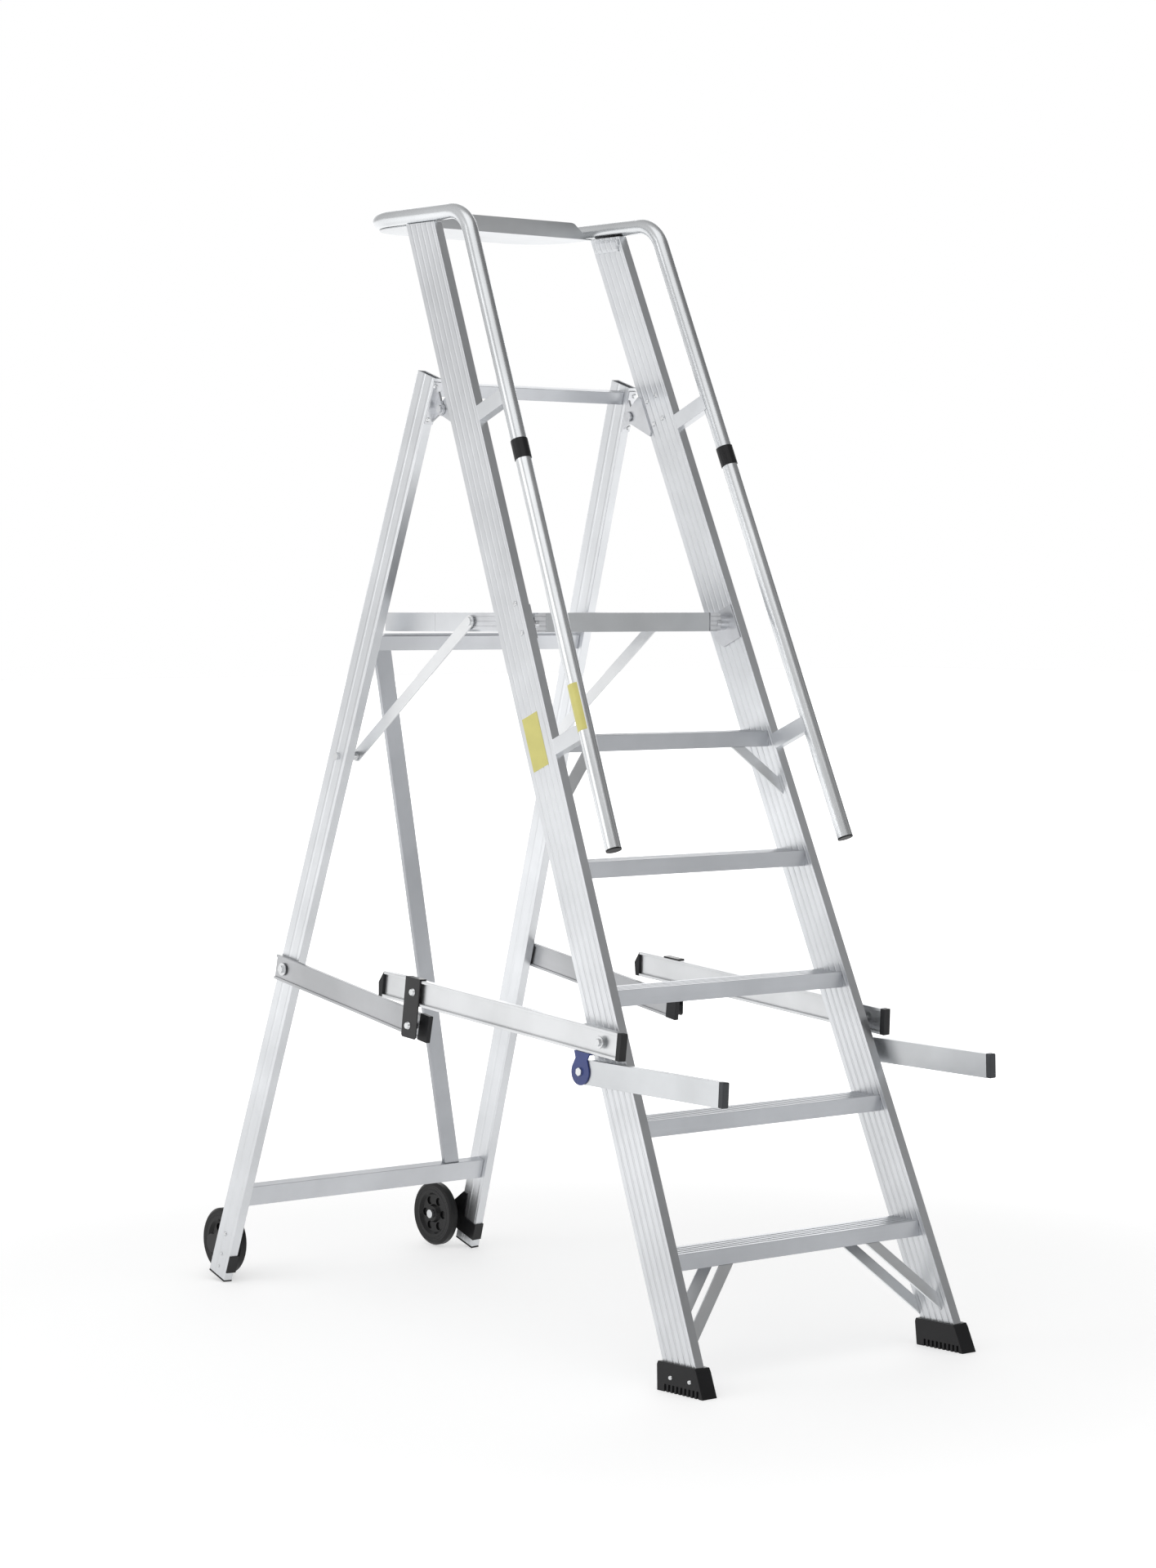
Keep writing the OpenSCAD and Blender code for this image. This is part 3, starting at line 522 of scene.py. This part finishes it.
# ---------- labels ----------
# Plain blank film labels with a light gloss, one stuck on the left stile and one wrapped
# round the left rail.

label_film = coated("label_film", (0.56, 0.52, 0.17), 0.42, grain=200.0, bump=0.02, wear=0.06,
                    coat=0.2)
from_cad("labels", 0, label_film)

# ---------- rear legs ----------
# Aluminium box extrusions, smaller than the stiles, with fine ridges along them. They are
# open at the top and plugged at the foot.

LEG_LEAN = 18.66
across_leg = (0, math.cos(math.radians(LEG_LEAN)), math.sin(math.radians(LEG_LEAN)))
leg_metal = ribbed(drawn_metal("leg_aluminium", bright, 0.36, UP, tilt=(LEG_LEAN, 0, 0)),
                   step=0.028, depth=0.0005, direction=across_leg)
for side, sign in SIDES:
    from_cad("leg_" + side, EXTRUSION_EDGE, leg_metal)

# ---------- crossbars and diagonal ----------
# Rectangular aluminium tubes cut to the legs and welded between them, and one diagonal
# welded across to brace them.

TUBE_EDGE = 0.0009
DIAGONAL_LEAN = -21.4
# The crossbars get a darker grey than the legs' aluminium: painted shade.
cross_metal = drawn_metal("cross_aluminium", (0.62, 0.635, 0.66), 0.34, ACROSS)
for name in ("top_crossbar", "middle_crossbar", "bottom_crossbar"):
    from_cad(name, TUBE_EDGE, cross_metal)
# The diagonal takes the treads' darker grey: painted shade.
diagonal_metal = drawn_metal("diagonal_aluminium", shade_darkened_grey, 0.36, UP,
                             tilt=(LEG_LEAN, DIAGONAL_LEAN, 0))
from_cad("rear_diagonal", TUBE_EDGE, diagonal_metal)

# ---------- wheel brackets ----------
# Steel plate in satin black, folded to a flange along the front and riveted inside the foot
# of each leg, where it carries the axle.

FOLDED_EDGE = 0.0008
black_paint = coated("black_paint", (0.005, 0.005, 0.006), 0.34, grain=700.0, bump=0.08,
                     wear=0.15, coat=0.2)
from_cad("wheel_brackets", FOLDED_EDGE, black_paint)

# ---------- wheels ----------
# Moulded hub, dished between rim and boss, with a ring of round pockets in both faces of its
# web, and a solid rubber tyre with rings moulded in its sides.

POCKET_COUNT = 6
POCKET_CORNERS = 20
POCKET_RADIUS = 0.0095
POCKET_RING = 0.0335
POCKET_DEPTH = 0.004
AXLE = (0.303, 0.8523, 0.078)
WEB_HALF = 0.005
TYRE_EDGE = 0.0008


def pockets(sign):
    """Round blind pockets spaced round the hub, sunk into both faces of its web."""
    cuts = []
    for i in range(POCKET_COUNT):
        turn = 2 * math.pi * i / POCKET_COUNT
        for face in (-1, 1):
            clear_selection()
            bpy.ops.mesh.primitive_cylinder_add(
                vertices=POCKET_CORNERS, radius=POCKET_RADIUS, depth=2 * POCKET_DEPTH,
                location=(sign * AXLE[0] + face * WEB_HALF,
                          AXLE[1] + POCKET_RING * math.cos(turn),
                          AXLE[2] + POCKET_RING * math.sin(turn)),
                rotation=(0, math.pi / 2, 0))
            cuts.append(bpy.context.object)
    return joined(cuts)


hub_plastic = coated("hub_plastic", (0.006, 0.006, 0.0065), 0.24, grain=MOULDED_GRAIN,
                     bump=0.05, wear=0.15)
rubber = coated("tyre_rubber", (0.010, 0.010, 0.0105), 0.42, grain=1200.0, bump=0.2, wear=0.2)
tyre_rubber = ribbed(rubber, step=0.0055, depth=0.0008, about=AXLE)
for side, sign in SIDES:
    from_cad("rim_" + side, SHEET_EDGE, hub_plastic, cutter=pockets(sign))
    from_cad("tyre_" + side, TYRE_EDGE, tyre_rubber)

# ---------- platform ----------
# Grooved aluminium deck in a folded frame, with a pan behind it. Ribbed cast arms carry it
# and turn with it in the brackets on the stiles.

ARM_EDGE = 0.0012
deck_metal = drawn_metal("deck_aluminium", (0.70, 0.715, 0.735), 0.34, BACK)
edge_metal = drawn_metal("edge_aluminium", (0.52, 0.535, 0.55), 0.36, ACROSS)
for name in ("platform_deck", "platform_side_rails", "platform_rear_pan"):
    from_cad(name, FOLDED_EDGE, deck_metal)
from_cad("platform_front_bar", FOLDED_EDGE, edge_metal)
arm_metal = ribbed(coated("arm_casting", plated, 0.38, metal=1.0, grain=300.0),
                   step=0.010, depth=0.0006, direction=(0, 0, 1))
from_cad("platform_arms", ARM_EDGE, arm_metal)

# ---------- braces ----------
# Flat aluminium straps with rounded ends that hold the platform level, pinned to its arms
# and bolted to the legs.

BRACE_LEAN = 41
brace_metal = drawn_metal("brace_aluminium", (0.78, 0.79, 0.80), 0.36, BACK,
                          tilt=(BRACE_LEAN, 0, 0))
for side, sign in SIDES:
    from_cad("brace_" + side, SHEET_EDGE, brace_metal)

# ---------- spreader bars ----------
# Aluminium channel with a lip along each edge. The forward bar has a flat cap in front and a
# pointed one behind; the rear bar has a box cap pushed over its front end.

FORWARD_BAR_LEAN = 4.8
REAR_BAR_LEAN = 9.3
BAR_EDGE = 0.0008
END_REACH = 0.012
BOX_CAP_LENGTH = 0.032
BOX_CAP_WIDTH = 0.0109
BOX_CAP_HEIGHT = 0.0575
BOX_CAP_WALL = 0.0012
BOX_CAP_EDGE = 0.0012
bar_metal = drawn_metal("bar_aluminium", (0.70, 0.71, 0.72), 0.33, BACK,
                        tilt=(FORWARD_BAR_LEAN, 0, 0))
# The rear bar is the forward bar's channel in a darker grey: painted shade.
rear_bar_metal = drawn_metal("rear_bar_aluminium", (0.48, 0.487, 0.50), 0.36, BACK,
                             tilt=(REAR_BAR_LEAN, 0, 0))
bar_cap_plastic = coated("bar_cap_plastic", (0.012, 0.0125, 0.014), 0.48,
                         grain=MOULDED_GRAIN, bump=0.12)
for side, sign in SIDES:
    from_cad("forward_bar_" + side, BAR_EDGE, bar_metal)
    from_cad("forward_bar_caps_" + side, SHEET_EDGE, bar_cap_plastic)
    rear_bar = from_cad("rear_bar_" + side, BAR_EDGE, rear_bar_metal)
    points = [v.co.copy() for v in rear_bar.data.vertices]
    front_y = min(p.y for p in points)
    back_y = max(p.y for p in points)
    front_end = [p for p in points if p.y < front_y + END_REACH]
    back_end = [p for p in points if p.y > back_y - END_REACH]
    tip = sum(front_end, Vector()) / len(front_end)
    run = sum(back_end, Vector()) / len(back_end) - tip
    centre = tip + run.normalized() * (BOX_CAP_LENGTH / 2 - BOX_CAP_WALL)
    centre.x += sign * BOX_CAP_WALL / 2
    cap = block("rear_bar_cap_" + side, (BOX_CAP_WIDTH, BOX_CAP_LENGTH, BOX_CAP_HEIGHT), centre,
                turns=[("X", -math.atan2(run.z, run.y)), ("Y", sign * math.radians(SIDE_TILT))])
    cap.data.materials.append(bar_cap_plastic)
    soften(cap, BOX_CAP_EDGE, 3)
    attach(cap, "rear_bar_" + side)

# ---------- spreader links ----------
# Pressed steel straps in satin black that hang the rear bar from the forward bar, with a
# bolt through each of the two.

for side, sign in SIDES:
    from_cad("link_" + side, FOLDED_EDGE, black_paint)

# ---------- handle brackets ----------
# Pressed steel, stove-enamelled blue, fixed under the forward bar. A rounded lobe on each
# takes the handle's bolt.

blue_paint = coated("blue_paint", (0.018, 0.036, 0.17), 0.3, grain=500.0, wear=0.1, coat=0.4)
for side, sign in SIDES:
    from_cad("handle_bracket_" + side, FOLDED_EDGE, blue_paint)

# ---------- carrying handles ----------
# Rounded box tube in aluminium with a dark grey moulded cap in the free end. Each swings on
# a bolt through its blue bracket.

HANDLE_EDGE = 0.0025
handle_metal = drawn_metal("handle_aluminium", plain, 0.33, BACK)
cap_plastic = coated("cap_plastic", (0.042, 0.045, 0.050), 0.45, grain=MOULDED_GRAIN,
                     bump=0.12, wear=0.15)
for side, sign in SIDES:
    from_cad("handle_" + side, HANDLE_EDGE, handle_metal, segments=3)
    from_cad("handle_cap_" + side, HANDLE_EDGE, cap_plastic, segments=3)
